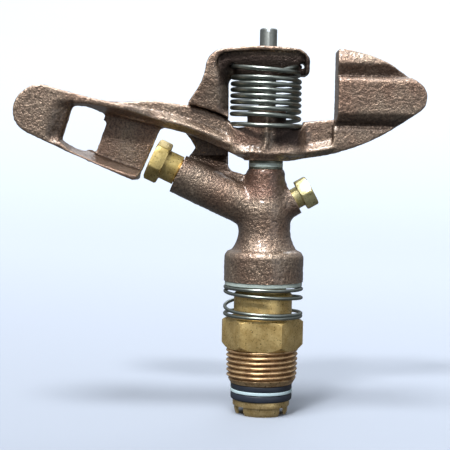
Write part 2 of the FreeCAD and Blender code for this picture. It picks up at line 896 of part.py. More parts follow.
def counterweight(body):
    """The solid weight: flat behind, and in front a deep band between two slimmer fins."""
    face = S["weight_face"]
    depth = S["band_half_depth"]
    block = new_sketch(body)
    outline(block, [
        (24.2, 85.4),
        (24.2, 95.4),
        (face, 98.8, (24.9, 96.8)),
        (face, 122.8),
        (26.5, 123.4),
        (44.0, 118.0, (35.7, 121.4)),
        (55.3, 110.6, (50.4, 114.0)),
        (57.6, 105.4, (57.2, 108.2)),
        (54.6, 100.3, (56.8, 102.5)),
        (45.5, 94.0, (50.2, 97.1)),
        (27.0, 85.8, (36.6, 89.3)),
    ])
    pad(body, block, depth * 2.0, symmetric=True)
    flutes = new_sketch(body, "YZ_Plane", height=S["weight_root"])
    outline(flutes, [
        (-depth * 1.5, 126.0),
        (-3.0, 126.0),
        (-3.0, 122.6),
        (-5.6, 117.8, (-4.9, 120.2)),
        (-3.6, 113.0, (-4.2, 115.2)),
        (-(depth - 1.4), 112.9),
        (-depth, 111.5),
        (-depth, 99.6),
        (-3.8, 95.0),
        (-5.2, 92.6, (-4.9, 94.0)),
        (-5.3, 88.5),
        (-3.9, 84.0, (-4.9, 86.2)),
        (-depth * 1.5, 84.0),
    ])
    pocket(body, flutes, 40.0, reverse=True)


def spoon_recess(body, surface, depth, reverse=False):
    """Hollow the spoon between its rails from one side, with the draft of a casting."""
    recess = new_sketch(body, height=surface)
    outline(recess, [
        (-75.3, 87.8),
        (-71.3, 101.3),
        (-66.0, 101.3),
        (-31.5, 94.8, (-50.0, 98.8)),
        (-41.0, 71.6),
        (-47.5, 75.4),
        (-71.2, 84.2, (-61.0, 79.9)),
    ])
    pocket(body, recess, depth, reverse=reverse, draft=S["recess_draft"])


def spoon(body):
    """The deep box at the arm's end: rails above and below, vane, window and paddle."""
    half = S["spoon_half_depth"]
    block = new_sketch(body)
    outline(block, [
        (-47.1, 74.2),
        (-39.3, 92.7),
        (-37.5, 93.4),
        (-43.5, 99.5),
        (-63.0, 103.2),
        (-78.6, 107.0),
        (-87.2, 106.0, (-83.6, 107.7)),
        (-91.2, 94.8, (-91.5, 100.6)),
        (-86.0, 90.0, (-89.1, 92.0)),
        (-70.5, 83.1),
        (-48.5, 74.0),
    ])
    pad(body, block, half * 2.0, symmetric=True)
    spoon_recess(body, half, half + S["vane_front"])
    spoon_recess(body, -half, half - S["vane_back"], reverse=True)
    window = new_sketch(body)
    outline(window, [
        (-72.7, 87.6),
        (-69.4, 98.2),
        (-59.0, 95.2),
        (-62.8, 83.9),
    ])
    pocket(body, window, half * 3.0, symmetric=True)


def paddle_scoop(body):
    """Hollow the paddle from behind to a round bucket that turns the jet sideways."""
    reach = S["scoop_radius"]
    distance = S["scoop_distance"]
    angle = math.radians(S["range_elevation"].value)
    centre = (-(distance * math.cos(angle)), S["meeting_height"] + distance * math.sin(angle))
    rearward = S["paddle_wall"] - S["spoon_half_depth"] + reach
    scoop = new_sketch(body, height=-rearward, turn=-S["range_elevation"], centre=centre)
    half = S["scoop_half_height"]
    outline(scoop, [(0, -half), (reach, -half), (reach, half), (0, half)])
    revolve(body, scoop, adds=False)


def arm_plan_trim(body):
    """Narrow the arm in plan from the deep spoon to the slimmer beam."""
    depth = S["spoon_half_depth"]
    beam = S["flange_half_depth"]
    for side in (1.0, -1.0):
        taper = new_sketch(body, "XY_Plane", height=S["meeting_height"])
        outline(taper, [
            (-51.5, (depth + 1.0) * side),
            (-51.5, depth * side),
            (-39.5, beam * side),
            (-35.5, beam * side),
            (-35.5, (depth + 1.0) * side),
        ])
        pocket(body, taper, 60.0, reverse=True)


def impact_arm():
    body = new_body("impact_arm")
    spoon(body)
    paddle_scoop(body)
    arm_plan_trim(body)
    arm_web(body)
    counterweight(body)
    arm_flange(body)
    arm_hub(body)
    return body


def arm_bushes():
    bore_radius = S["pin_radius"] + S["running_gap"]
    length = S["bush_length"]
    lower = ring("arm_bush_lower", S["hub_bore_radius"], bore_radius, S["hub_bottom"], length)
    upper = ring("arm_bush_upper", S["hub_bore_radius"], bore_radius, S["hub_top"] - length, length)
    return [lower, upper]


def arm_spring():
    turns = S["arm_coil_height"] / S["arm_pitch"]
    return coil("arm_spring", S["arm_wire"], S["arm_coil_radius"], S["arm_coil_bottom"],
                S["arm_coil_height"], turns)


# ---- assembly ---------------------------------------------------------------------------------

parts = [inlet_nipple()]
parts += thrust_washers()
parts += [
    bearing_tube(),
    bearing_spring(),
    ring("spring_seat_washer", S["seat_radius"], S["tube_radius"] + S["running_gap"],
         S["seat_bottom"], S["seat_height"]),
    ring("tube_seal_ring", S["seal_radius"], S["tube_radius"],
         S["seat_bottom"] + S["seat_height"], S["seal_height"]),
    body_casting(),
    stream_straightener(),
    range_nozzle(),
    spreader_nozzle(),
    fulcrum_pin(),
]
parts += arm_washers()
parts += [impact_arm()]
parts += arm_bushes()
parts += [arm_spring()]

doc.recompute()
for item in doc.Objects:
    if "Invalid" in item.State or "Error" in item.State:
        raise RuntimeError("%s: %s" % (item.Label, item.State))

os.makedirs("parts", exist_ok=True)
for part in parts:
    if part.Shape.isNull() or not part.Shape.isValid():
        raise RuntimeError("%s has no valid shape" % part.Label)
    part.Shape.exportStep("parts/%s.step" % part.Label)
    print("%-22s %2d solid %9.1f mm3" % (part.Label, len(part.Shape.Solids), part.Shape.Volume))
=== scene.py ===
import itertools
import json
import math

import bmesh
import bpy
import numpy as np
from mathutils import Matrix, Vector


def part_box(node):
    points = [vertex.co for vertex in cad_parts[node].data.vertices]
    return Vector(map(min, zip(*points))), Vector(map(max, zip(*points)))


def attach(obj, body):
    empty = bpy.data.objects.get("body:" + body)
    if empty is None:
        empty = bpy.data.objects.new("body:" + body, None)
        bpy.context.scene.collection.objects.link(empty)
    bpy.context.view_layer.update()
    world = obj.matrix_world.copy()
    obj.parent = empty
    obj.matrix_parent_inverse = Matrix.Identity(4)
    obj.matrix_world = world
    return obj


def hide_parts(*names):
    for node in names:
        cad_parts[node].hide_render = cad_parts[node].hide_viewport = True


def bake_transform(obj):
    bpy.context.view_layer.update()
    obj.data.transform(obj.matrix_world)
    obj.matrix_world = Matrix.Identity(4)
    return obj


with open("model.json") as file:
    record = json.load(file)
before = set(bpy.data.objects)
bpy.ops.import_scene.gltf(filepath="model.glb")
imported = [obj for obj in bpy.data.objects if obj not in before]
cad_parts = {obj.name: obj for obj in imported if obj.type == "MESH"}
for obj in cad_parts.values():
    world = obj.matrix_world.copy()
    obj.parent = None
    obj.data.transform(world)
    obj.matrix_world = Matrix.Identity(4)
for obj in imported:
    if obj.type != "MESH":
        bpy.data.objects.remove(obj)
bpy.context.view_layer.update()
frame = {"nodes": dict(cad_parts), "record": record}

# Impact sprinkler: castings, machined brass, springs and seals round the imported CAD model.
# Metres, +Z up. The turning axis is the Z axis, the spoon points to -X.

MM = 0.001
SCENE = bpy.context.scene
BODY_OF = {
    node: body
    for body, nodes in frame["record"]["behaviour"]["bodies"].items()
    for node in nodes
}
SLOT_OF = {part["node"]: part["material_slot"] for part in frame["record"]["subparts"]}

# The two nozzle bosses: where their axes meet, which way these point, how long the bosses are.
MEETING = Vector((0, 0, 61.8)) * MM
RANGE_AXIS = Vector((-math.cos(math.radians(24.6)), 0, math.sin(math.radians(24.6))))
SPREADER_AXIS = Vector((math.cos(math.radians(30.0)), 0, math.sin(math.radians(30.0))))
RANGE_BOSS_LENGTH = 35.5 * MM
SPREADER_BOSS_LENGTH = 12.3 * MM
RANGE_BOSS_RADIUS = 7.3 * MM
SPREADER_BOSS_RADIUS = 5.9 * MM

# Machined edges sharper than this are broken by a bevel and shaded sharp.
SHARP_ANGLE = math.radians(30.0)
# The relief of the sand-cast skin.
GRAIN_RELIEF = 0.13 * MM
# A machined face on a casting is moved out this far before remeshing and trimmed back after it.
CUT_ALLOWANCE = 1.2 * MM
# How far past a machined face a point may still belong to it.
CUT_REACH = 2.0 * MM
# Points round a turned ring, round a wire, and along one turn of a coil.
TURNED_STEPS = 160
WIRE_SIDES = 16
COIL_STEPS = 72


# ---- camera -----------------------------------------------------------------------------------

def make_camera():
    """Nearly level, 424 mm in front of the turning axis, looking a little down, rolled a little."""
    lens = bpy.data.cameras.new("camera")
    lens.sensor_width = 36.0
    lens.lens = 92.0
    lens.clip_start = 0.01
    camera = bpy.data.objects.new("camera", lens)
    SCENE.collection.objects.link(camera)
    place = Vector((-14.6, -424.35, 77.9)) * MM
    downward = math.radians(2.69)
    roll = math.radians(1.13)
    aim = Matrix.Rotation(math.radians(90.0) - downward, 4, "X") @ Matrix.Rotation(roll, 4, "Z")
    camera.matrix_world = Matrix.Translation(place) @ aim
    SCENE.camera = camera


# ---- materials --------------------------------------------------------------------------------

class Finish:
    """A material with short ways to add nodes to it."""

    def __init__(self, name, **surface):
        self.material = bpy.data.materials.new(name)
        self.material.use_nodes = True
        self.tree = self.material.node_tree
        self.surface = self.tree.nodes["Principled BSDF"]
        self.place = self.tree.nodes.new("ShaderNodeTexCoord").outputs["Object"]
        self.set(self.surface, surface)

    def set(self, node, values):
        """Set a node's inputs, by name, to values or to the outputs of other nodes."""
        for key, value in values.items():
            socket = node.inputs[key.replace("_", " ")]
            if isinstance(value, bpy.types.NodeSocket):
                self.tree.links.new(value, socket)
            else:
                socket.default_value = value

    def node(self, kind, settings=None, **values):
        """A new node of a kind, with its settings and its inputs."""
        node = self.tree.nodes.new("ShaderNode" + kind)
        for key, value in (settings or {}).items():
            setattr(node, key, value)
        self.set(node, values)
        return node

    def noise(self, size, detail=2.0, roughness=0.5):
        """Noise with features of about that size, from 0 to 1."""
        values = {"Vector": self.place, "Scale": 1.0 / size, "Detail": detail, "Roughness": roughness}
        return self.node("TexNoise", **values).outputs["Fac"]

    def ramp(self, factor, *stops):
        """A colour or grey ramp; each stop is (place, colour) or (place, grey)."""
        node = self.tree.nodes.new("ShaderNodeValToRGB")
        self.tree.links.new(factor, node.inputs["Fac"])
        elements = node.color_ramp.elements
        while len(elements) < len(stops):
            elements.new(0.5)
        for element, (place, tone) in zip(elements, stops):
            element.position = place
            element.color = (tone,) * 3 + (1,) if isinstance(tone, float) else tuple(tone) + (1,)
        return node.outputs["Color"]

    def mix(self, factor, first, second, blend="MIX"):
        """One colour over another by a factor; each of the three is a value or an output."""
        node = self.tree.nodes.new("ShaderNodeMix")
        node.data_type = "RGBA"
        node.blend_type = blend
        for index, value in ((0, factor), (6, first), (7, second)):
            socket = node.inputs[index]
            if isinstance(value, bpy.types.NodeSocket):
                self.tree.links.new(value, socket)
            elif isinstance(value, float):
                socket.default_value = value
            else:
                socket.default_value = tuple(value) + (1,)
        return node.outputs[2]

    def bump(self, height, depth, strength):
        """The normal of a bump of the given depth in metres."""
        values = {"Height": height, "Distance": depth, "Strength": strength}
        return self.node("Bump", **values).outputs["Normal"]


def colour(red, green, blue):
    """A linear colour from its sRGB values, 0 to 255."""
    def linear(value):
        share = value / 255.0
        return share / 12.92 if share <= 0.04045 else ((share + 0.055) / 1.055) ** 2.4
    return (linear(red), linear(green), linear(blue))


def bronze():
    """Sand-cast bronze: a dull brown skin, with painted shade in its pits and painted glints on its crests.

    A casting's own attributes say where painted shade darkens it and where it is reddish.
    """
    made = Finish("cast_bronze", Metallic=0.7, Coat_Roughness=0.24)
    crest = made.tree.nodes.new("ShaderNodeNewGeometry").outputs["Pointiness"]
    fine = made.noise(0.7 * MM, detail=3.0, roughness=0.6)
    cloud = made.noise(14 * MM, detail=2.0)
    base = made.ramp(fine, (0.36, colour(66, 55, 49)), (0.60, colour(164, 147, 131)))
    # Pointiness paints the grain: darker in its pits as painted shade, lighter on its crests as painted
    # glints.
    painted_glint_and_pit_shade = made.ramp(crest, (0.47, colour(62, 50, 46)), (0.55, colour(210, 194, 180)))
    toned = made.mix(0.45, base, painted_glint_and_pit_shade)
    tint = made.ramp(cloud, (0.35, colour(236, 214, 200)), (0.65, colour(255, 250, 240)))
    # This attribute marks the places darkened by painted shade.
    shade = made.node("Attribute", {"attribute_name": "painted_shade"}).outputs["Fac"]
    warmth = made.node("Attribute", {"attribute_name": "warmth"}).outputs["Fac"]
    # The occlusion node darkens the colour in hollows and corners: painted shade.
    hollows = {"samples": 8, "only_local": True}
    open_sky = made.node("AmbientOcclusion", hollows, Distance=8 * MM).outputs["AO"]
    occlusion_shade = made.ramp(open_sky, (0.30, 0.85), (0.78, 0.0))
    reddened = made.mix(warmth, made.mix(1.0, toned, tint, "MULTIPLY"), colour(110, 74, 60))
    shaded_base = made.mix(occlusion_shade, made.mix(shade, reddened, colour(46, 36, 33)), colour(46, 38, 34))
    gloss = made.ramp(open_sky, (0.50, 0.1), (0.85, 1.0))
    made.set(made.surface, {
        "Base Color": shaded_base,
        "Coat Weight": made.mix(shade, gloss, (0.0, 0.0, 0.0)),
        "Roughness": made.ramp(fine, (0.3, 0.44), (0.7, 0.27)),
        "Normal": made.bump(fine, 0.45 * MM, 0.9),
    })
    return made.material


def machined_bronze():
    """The faces cut on a casting: brighter than its skin, with fine marks."""
    made = Finish("machined_bronze", Metallic=1.0, Roughness=0.3)
    fine = made.noise(0.3 * MM, detail=2.0)
    made.set(made.surface, {
        "Base Color": made.ramp(fine, (0.3, colour(190, 160, 120)), (0.7, colour(226, 200, 160))),
        "Normal": made.bump(fine, 0.02 * MM, 0.5),
    })
    return made.material


def brass(name, dark, light, pits):
    """Machined brass with a slightly patinated, uneven tone, darker reddish in its valleys from patina and
    painted shade, with fine dark pits.
    """
    made = Finish(name, Metallic=0.7)
    crest = made.tree.nodes.new("ShaderNodeNewGeometry").outputs["Pointiness"]
    cloud = made.noise(3.0 * MM, detail=4.0, roughness=0.6)
    grain = made.noise(0.6 * MM, detail=3.0)
    tone = made.mix(0.35, made.ramp(cloud, (0.35, dark), (0.65, light)),
                    made.ramp(grain, (0.35, dark), (0.6, light)))
    pitted = made.ramp(grain, (0.30, 0.85), (0.38, 0.0))
    # Darker reddish brown in the valleys: partly patina, partly painted shade.
    valley_patina_and_shade = made.ramp(crest, (0.44, 0.8), (0.495, 0.0))
    made.set(made.surface, {
        "Base Color": made.mix(valley_patina_and_shade, made.mix(pitted, tone, colour(70, 54, 34)), colour(122, 84, 64)),
        "Roughness": made.ramp(cloud, (0.3, 0.30), (0.7, 0.42)),
        "Normal": made.bump(grain, pits, 0.6),
    })
    return made.material


def steel(name, light, roughness, size):
    """Satin stainless, a little uneven in tone and gloss."""
    made = Finish(name, Metallic=1.0)
    grain = made.noise(size, detail=3.0)
    made.set(made.surface, {
        "Base Color": made.ramp(grain, (0.3, tuple(c * 0.8 for c in light)), (0.7, light)),
        "Roughness": made.ramp(grain, (0.3, roughness * 0.9), (0.7, roughness * 1.1)),
    })
    return made.material


def moulded(name, base, roughness, mottling):
    """A plastic or rubber, slightly mottled."""
    made = Finish(name)
    fine = made.noise(0.6 * MM, detail=3.0)
    cloud = made.noise(4.0 * MM)
    shaded = tuple(c * mottling for c in base)
    made.set(made.surface, {
        "Base Color": made.mix(0.5, made.ramp(fine, (0.35, shaded), (0.65, base)),
                               made.ramp(cloud, (0.35, shaded), (0.65, base))),
        "Roughness": made.ramp(fine, (0.3, roughness), (0.7, roughness + 0.15)),
        "Normal": made.bump(fine, 0.02 * MM, 0.5),
    })
    return made.material


FINISHES = {
    "bronze": bronze(),
    "thread_brass": brass("thread_brass", colour(206, 172, 104), colour(240, 214, 150), 0.05 * MM),
    "tube_brass": brass("tube_brass", colour(196, 166, 106), colour(236, 212, 156), 0.02 * MM),
    "nozzle_brass": brass("nozzle_brass", colour(184, 160, 92), colour(228, 208, 142), 0.05 * MM),
    "spreader_brass": brass("spreader_brass", colour(188, 178, 120), colour(230, 224, 176), 0.03 * MM),
    "spring_steel": steel("spring_steel", colour(150, 158, 152), 0.34, 1.2 * MM),
    "pin_steel": steel("pin_steel", colour(150, 155, 152), 0.45, 0.8 * MM),
    "washer_steel": steel("washer_steel", colour(124, 130, 120), 0.42, 0.8 * MM),
    "washer_rubber": moulded("washer_rubber", colour(46, 54, 68), 0.42, 0.7),
    "ptfe": moulded("ptfe", colour(206, 232, 240), 0.35, 0.95),
    "seat_plastic": moulded("seat_plastic", colour(190, 206, 200), 0.35, 0.9),
    "vane_plastic": moulded("vane_plastic", colour(88, 90, 92), 0.45, 0.85),
}
MACHINED = machined_bronze()
CUT_THREAD = brass("cut_thread", colour(158, 122, 88), colour(222, 194, 150), 0.05 * MM)


# ---- mesh helpers -----------------------------------------------------------------------------

def new_piece(name, mesh):
    """A new object with a mesh, in the scene."""
    piece = bpy.data.objects.new(name, mesh)
    SCENE.collection.objects.link(piece)
    return piece


def mesh_piece(name, points, faces):
    """A piece from points in metres and its faces."""
    mesh = bpy.data.meshes.new(name)
    mesh.from_pydata([tuple(p) for p in points], [], faces)
    mesh.validate()
    mesh.shade_smooth()
    return new_piece(name, mesh)


def band(here, there, count):
    """The faces between two rings of points, which start at the given places in the list."""
    after = [(step + 1) % count for step in range(count)]
    return [(here + step, here + after[step], there + after[step], there + step) for step in range(count)]


def install(piece, node, finished=False):
    """Let a piece replace its CAD node, with the node's own finish unless it is finished already."""
    if not finished:
        piece.data.materials.clear()
        piece.data.materials.append(FINISHES[SLOT_OF[node]])
    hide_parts(node)


def seat(piece, node, finished=False):
    """Install a piece on the body of its CAD node."""
    install(piece, node, finished)
    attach(piece, BODY_OF[node])


def welded(node):
    """A bmesh of a CAD node with its points merged."""
    work = bmesh.new()
    work.from_mesh(frame["nodes"][node].data)
    bmesh.ops.remove_doubles(work, verts=work.verts, dist=1e-6)
    return work


def settle(piece):
    """Apply a piece's modifiers."""
    graph = bpy.context.evaluated_depsgraph_get()
    mesh = bpy.data.meshes.new_from_object(piece.evaluated_get(graph))
    piece.modifiers.clear()
    piece.data = mesh


def machined(name, work, edge):
    """A machined piece from a bmesh, with its sharp edges broken by a small bevel."""
    bmesh.ops.dissolve_limit(work, angle_limit=math.radians(0.5), verts=work.verts, edges=work.edges)
    mesh = bpy.data.meshes.new(name)
    work.to_mesh(mesh)
    work.free()
    piece = new_piece(name, mesh)
    bevel = piece.modifiers.new("edges", "BEVEL")
    bevel.width = edge
    bevel.segments = 2
    bevel.limit_method = "ANGLE"
    bevel.angle_limit = SHARP_ANGLE
    settle(piece)
    piece.data.shade_smooth()
    piece.data.set_sharp_from_angle(angle=SHARP_ANGLE)
    return piece


def seat_machined(name, node, edge):
    """A CAD node's shape as a machined piece in its place."""
    seat(machined(name, welded(node), edge), node)


def value_noise(points, size, seed):
    """Smooth random values from -1 to 1 with bumps of about the given size."""
    cells = points / size
    corner = np.floor(cells)
    share = cells - corner
    share = share * share * (3 - 2 * share)
    corner = corner.astype(np.int64)
    total = np.zeros(len(points))
    for step in itertools.product((0, 1), repeat=3):
        x, y, z = (corner + np.array(step)).T
        code = (x * 73856093) ^ (y * 19349663) ^ (z * 83492791) ^ (seed * 2654435761)
        code = (code ^ (code >> 13)) * 1274126177
        value = ((code ^ (code >> 16)) & 0xFFFF) / 32767.5 - 1.0
        weight = np.prod(np.where(np.array(step), share, 1 - share), axis=1)
        total += weight * value
    return total


def grain(points, seed):
    """The relief of a sand-cast skin, from about -1 to 1."""
    return (0.75 * value_noise(points, 0.95 * MM, seed) + 0.4 * value_noise(points, 0.5 * MM, seed + 1)
            + 0.3 * value_noise(points, 3.0 * MM, seed + 2))


def vectors(elements, kind):
    """One vector of each of a mesh's elements, as rows of an array."""
    values = np.zeros(len(elements) * 3)
    elements.foreach_get(kind, values)
    return values.reshape(-1, 3)


def read_points(mesh):
    """A mesh's points, as rows of an array."""
    return vectors(mesh.vertices, "co")


def write_points(mesh, points):
    """Move a mesh's points."""
    mesh.vertices.foreach_set("co", points.ravel())
    mesh.update()


class Cut:
    """A machined end face on a casting: a disc on an axis, at a distance from a point."""

    def __init__(self, point, axis, distance, radius):
        self.point = np.array(point)
        self.axis = np.array(axis)
        self.distance = distance
        self.radius = radius

    def along(self, points):
        """How far along the axis each point lies."""
        return (points - self.point) @ self.axis

    def near(self, points, margin):
        """Which points lie in the cylinder round the axis, close to the face or just past it."""
        past = self.along(points) - self.distance
        away = np.linalg.norm(points - self.point - self.along(points)[:, None] * self.axis, axis=1)
        return (away < self.radius) & (past > -margin) & (past < CUT_REACH)

    def push(self, points, by):
        """Move the face's own points outward."""
        chosen = self.near(points, 0.05 * MM)
        points[chosen] += by * self.axis

    def trim(self, points):
        """Bring back what stands past the face."""
        chosen = self.near(points, 0.0)
        excess = self.along(points)[chosen] - self.distance
        points[chosen] -= excess[:, None] * self.axis


def smooth(points, edges, rounds, weight):
    """Even out a mesh's points along its edges, each by its own weight."""
    first, second = edges.T
    count = len(points)
    degree = np.bincount(edges.ravel(), minlength=count)
    for _ in range(rounds):
        for axis in range(3):
            value = points[:, axis]
            around = np.bincount(first, value[second], count) + np.bincount(second, value[first], count)
            points[:, axis] += 0.5 * weight * (around / degree - value)


def ease(value, start, end):
    """A smooth step from 0 at the start to 1 at the end."""
    share = np.clip((value - start) / (end - start), 0.0, 1.0)
    return share * share * (3 - 2 * share)


def soften(points, edges, places):
    """Make large fillets in round places, each given as centre, radius and rounds of smoothing."""
    for centre, radius, rounds in places:
        away = np.linalg.norm(points - np.array(centre), axis=1)
        smooth(points, edges, rounds, 1.0 - ease(away, 0.6 * radius, radius))


def remeshed(name, node, voxel, cuts, add):
    """A CAD node's shape, with any solids that add puts in, as an even voxel mesh."""
    work = welded(node)
    if add:
        add(work)
    mesh = bpy.data.meshes.new(name)
    work.to_mesh(mesh)
    work.free()
    points = read_points(mesh)
    for cut in cuts:
        cut.push(points, CUT_ALLOWANCE)
    write_points(mesh, points)
    piece = new_piece(name, mesh)
    voxels = piece.modifiers.new("voxels", "REMESH")
    voxels.mode = "VOXEL"
    voxels.voxel_size = voxel
    settle(piece)
    return piece


def casting(name, node, voxel, seed, cuts, tones, shape, soft, fair=(), add=None):
    """A sand casting: the CAD shape with soft edges and fillets, a grained skin and machined faces.

    tones lists the places of each of its attributes, shape moves its points, soft and fair list
    the places that have large fillets before and after that.
    """
    piece = remeshed(name, node, voxel, cuts, add)
    mesh = piece.data
    points = read_points(mesh)
    edges = np.zeros(len(mesh.edges) * 2, dtype=np.int32)
    mesh.edges.foreach_get("vertices", edges)
    edges = edges.reshape(-1, 2)
    soften(points, edges, soft)
    shape(points)
    smooth(points, edges, 4, np.ones(len(points)))
    soften(points, edges, fair)
    write_points(mesh, points)
    points += vectors(mesh.vertices, "normal") * (grain(points, seed) * GRAIN_RELIEF)[:, None]
    for cut in cuts:
        cut.trim(points)
    write_points(mesh, points)
    for attribute, places in tones.items():
        amount = np.max([place.amount(points) for place in places], axis=0)
        mesh.attributes.new(attribute, "FLOAT", "POINT").data.foreach_set("value", amount)
    mesh.shade_smooth()
    paint_cuts(mesh, cuts)
    return piece


class Patch:
    """A place on a casting darkened by painted shade or given a reddish tone: a soft-edged box, in
    millimetres, and a strength.
    """

    def __init__(self, low, high, border, strength):
        self.low = np.array(low) * MM
        self.high = np.array(high) * MM
        self.border = border * MM
        self.strength = strength

    def amount(self, points):
        """How much of the tone each point has."""
        share = ease(points, self.low - self.border, self.low + self.border)
        share *= 1 - ease(points, self.high - self.border, self.high + self.border)
        return self.strength * share.prod(axis=1)


def paint_cuts(mesh, cuts):
    """Give the machined faces their own finish and sharp borders."""
    mesh.materials.append(FINISHES["bronze"])
    mesh.materials.append(MACHINED)
    centres = vectors(mesh.polygons, "center")
    normals = vectors(mesh.polygons, "normal")
    index = np.zeros(len(mesh.polygons), dtype=np.int32)
    for cut in cuts:
        flat = np.abs(cut.along(centres) - cut.distance) < 0.01 * MM
        index[flat & (normals @ cut.axis > 0.99) & cut.near(centres, 0.1 * MM)] = 1
    mesh.polygons.foreach_set("material_index", index)
    finishes = {}
    for polygon in mesh.polygons:
        for key in polygon.edge_keys:
            finishes.setdefault(key, set()).add(index[polygon.index])
    sharp = np.array([len(finishes.get(edge.key, ())) > 1 for edge in mesh.edges])
    attribute = mesh.attributes.new("sharp_edge", "BOOLEAN", "EDGE")
    attribute.data.foreach_set("value", sharp)


def turned(name, profile):
    """A ring turned from a closed outline of (radius, height) points, in metres."""
    points = []
    faces = []
    count = len(profile)
    for step in range(TURNED_STEPS):
        angle = 2 * math.pi * step / TURNED_STEPS
        points += [(r * math.cos(angle), r * math.sin(angle), z) for r, z in profile]
    for step in range(TURNED_STEPS):
        here = step * count
        there = (step + 1) % TURNED_STEPS * count
        for index in range(count):
            after = (index + 1) % count
            faces.append((here + index, there + index, there + after, here + after))
    return mesh_piece(name, points, faces)


def seat_ring(name, node, corner, bulge=0.0):
    """A ring in a CAD node's place, with round outer corners and a bulged rim."""
    low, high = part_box(node)
    points = read_points(frame["nodes"][node].data)
    inner = np.hypot(points[:, 0], points[:, 1]).min()
    middle = (low.z + high.z) / 2
    half = (high.z - low.z) / 2
    profile = []
    steps = 6
    for height, start in ((low.z + corner, -90), (high.z - corner, 0)):
        for step in range(steps + 1):
            angle = math.radians(start + 90 * step / steps)
            level = height + corner * math.sin(angle)
            swell = bulge * (1 - ((level - middle) / half) ** 2)
            profile.append((high.x - corner - bulge + swell + corner * math.cos(angle), level))
    profile += [(inner + corner * 0.5, high.z), (inner, high.z - corner * 0.5)]
    profile += [(inner, low.z + corner * 0.5), (inner + corner * 0.5, low.z)]
    piece = turned(name, profile)
    piece.data.set_sharp_from_angle(angle=math.radians(40))
    seat(piece, node)


def wire(name, path, radius):
    """A round wire along a path of points, closed by a domed cut at each end."""
    path = np.array(path)
    tangents = np.gradient(path, axis=0)
    tangents /= np.linalg.norm(tangents, axis=1)[:, None]
    across = np.cross(tangents[0], (0, 0, 1.0))
    dome = radius * 0.3
    narrowed = 0.72
    rings = [(path[0] - tangents[0] * dome, tangents[0], narrowed)]
    rings += [(point, tangent, 1.0) for point, tangent in zip(path, tangents)]
    rings.append((path[-1] + tangents[-1] * dome, tangents[-1], narrowed))
    points = []
    for centre, tangent, share in rings:
        across = across - tangent * np.dot(across, tangent)
        across /= np.linalg.norm(across)
        upward = np.cross(tangent, across)
        for side in range(WIRE_SIDES):
            angle = 2 * math.pi * side / WIRE_SIDES
            points.append(centre + radius * share * (math.cos(angle) * across + math.sin(angle) * upward))
    last = (len(rings) - 1) * WIRE_SIDES
    faces = []
    for here in range(0, last, WIRE_SIDES):
        faces += band(here, here + WIRE_SIDES, WIRE_SIDES)
    faces.append(tuple(reversed(range(WIRE_SIDES))))
    faces.append(tuple(range(last, last + WIRE_SIDES)))
    return mesh_piece(name, points, faces)


def coil_path(heights, radii):
    """A left-handed coil; heights and radii are lists of (turns, value), in millimetres.

    Whole turns lie on the +X side; the wire climbs from there by the front, -Y, to -X.
    """
    first = heights[0][0]
    last = heights[-1][0]
    turns = np.linspace(first, last, int((last - first) * COIL_STEPS) + 1)
    height = np.interp(turns, *zip(*heights))
    radius = np.interp(turns, *zip(*radii))
    width = 9
    kernel = np.hanning(width + 2)[1:-1]
    kernel /= kernel.sum()
    height = np.convolve(np.pad(height, width // 2, mode="edge"), kernel, mode="valid")
    radius = np.convolve(np.pad(radius, width // 2, mode="edge"), kernel, mode="valid")
    angle = turns * 2 * math.pi
    return np.stack([radius * np.cos(angle), -radius * np.sin(angle), height], axis=1) * MM


# ---- inlet and bearing ------------------------------------------------------------------------

THREAD_TOP = 12.8 * MM
THREAD_PITCH = 1.814 * MM
THREAD_DEPTH = 1.15 * MM
THREAD_PHASE = 0.517  # where the ridge begins, as a share of a turn
# The cone that the thread's start is turned down to, below the crest, and its deepest place.
START_DEPTH = 1.75 * MM
START_SLOPE = 0.56
DEEPEST = 2.2 * MM
FLATS_BOTTOM = 11.3 * MM
HEX_FLATS = 26.1 * MM
HEX_CORNER = math.radians(56.0)
THREAD_STEPS = 240
THREAD_ROWS = 170
MOUTH_CHAMFER = 0.4 * MM


def thread_radius(angle, height, crest):
    """The surface of a right-handed taper thread, turned down at its start and cut by the flats."""
    phase = height / THREAD_PITCH - angle / (2 * math.pi) + THREAD_PHASE
    ridge = (0.5 - 0.5 * np.cos(2 * math.pi * phase)) ** 0.75
    top = crest - (THREAD_TOP - height) / 32.0
    radius = top - THREAD_DEPTH * (1 - ridge)
    radius = np.minimum(radius, crest - START_DEPTH + START_SLOPE * height)
    radius = np.maximum(radius, crest - DEEPEST)
    if height > FLATS_BOTTOM:
        off_flat = (angle - HEX_CORNER) % math.radians(60) - math.radians(30)
        radius = np.minimum(radius, HEX_FLATS / 2 / np.cos(off_flat))
    return radius


def nipple_top(node):
    """The nipple's hexagon and sleeve, cut off at the top of the thread and closed there."""
    work = welded(node)
    geometry = work.verts[:] + work.edges[:] + work.faces[:]
    bmesh.ops.bisect_plane(
        work, geom=geometry, plane_co=(0, 0, THREAD_TOP), plane_no=(0, 0, 1), clear_inner=True)
    rim = [edge for edge in work.edges if edge.is_boundary]
    bmesh.ops.bridge_loops(work, edges=rim)
    return machined("inlet_nipple_hexagon", work, 0.18 * MM)


def nipple_thread(crest, bore):
    """The nipple's threaded end, from its mouth up to the top of the thread."""
    angles = np.arange(THREAD_STEPS) * 2 * math.pi / THREAD_STEPS
    points = []
    for height in np.linspace(0.0, THREAD_TOP, THREAD_ROWS):
        radius = thread_radius(angles, height, crest)
        points += [(r * math.cos(a), r * math.sin(a), height) for r, a in zip(radius, angles)]
    for inner, height in ((bore, THREAD_TOP), (bore, MOUTH_CHAMFER), (bore + MOUTH_CHAMFER, 0.0)):
        points += [(inner * math.cos(a), inner * math.sin(a), height) for a in angles]
    rings = THREAD_ROWS + 3
    faces = []
    for ring in range(rings):
        faces += band(ring * THREAD_STEPS, (ring + 1) % rings * THREAD_STEPS, THREAD_STEPS)
    piece = mesh_piece("inlet_nipple_thread", points, faces)
    piece.data.set_sharp_from_angle(angle=math.radians(50))
    piece.data.materials.append(CUT_THREAD)
    return piece


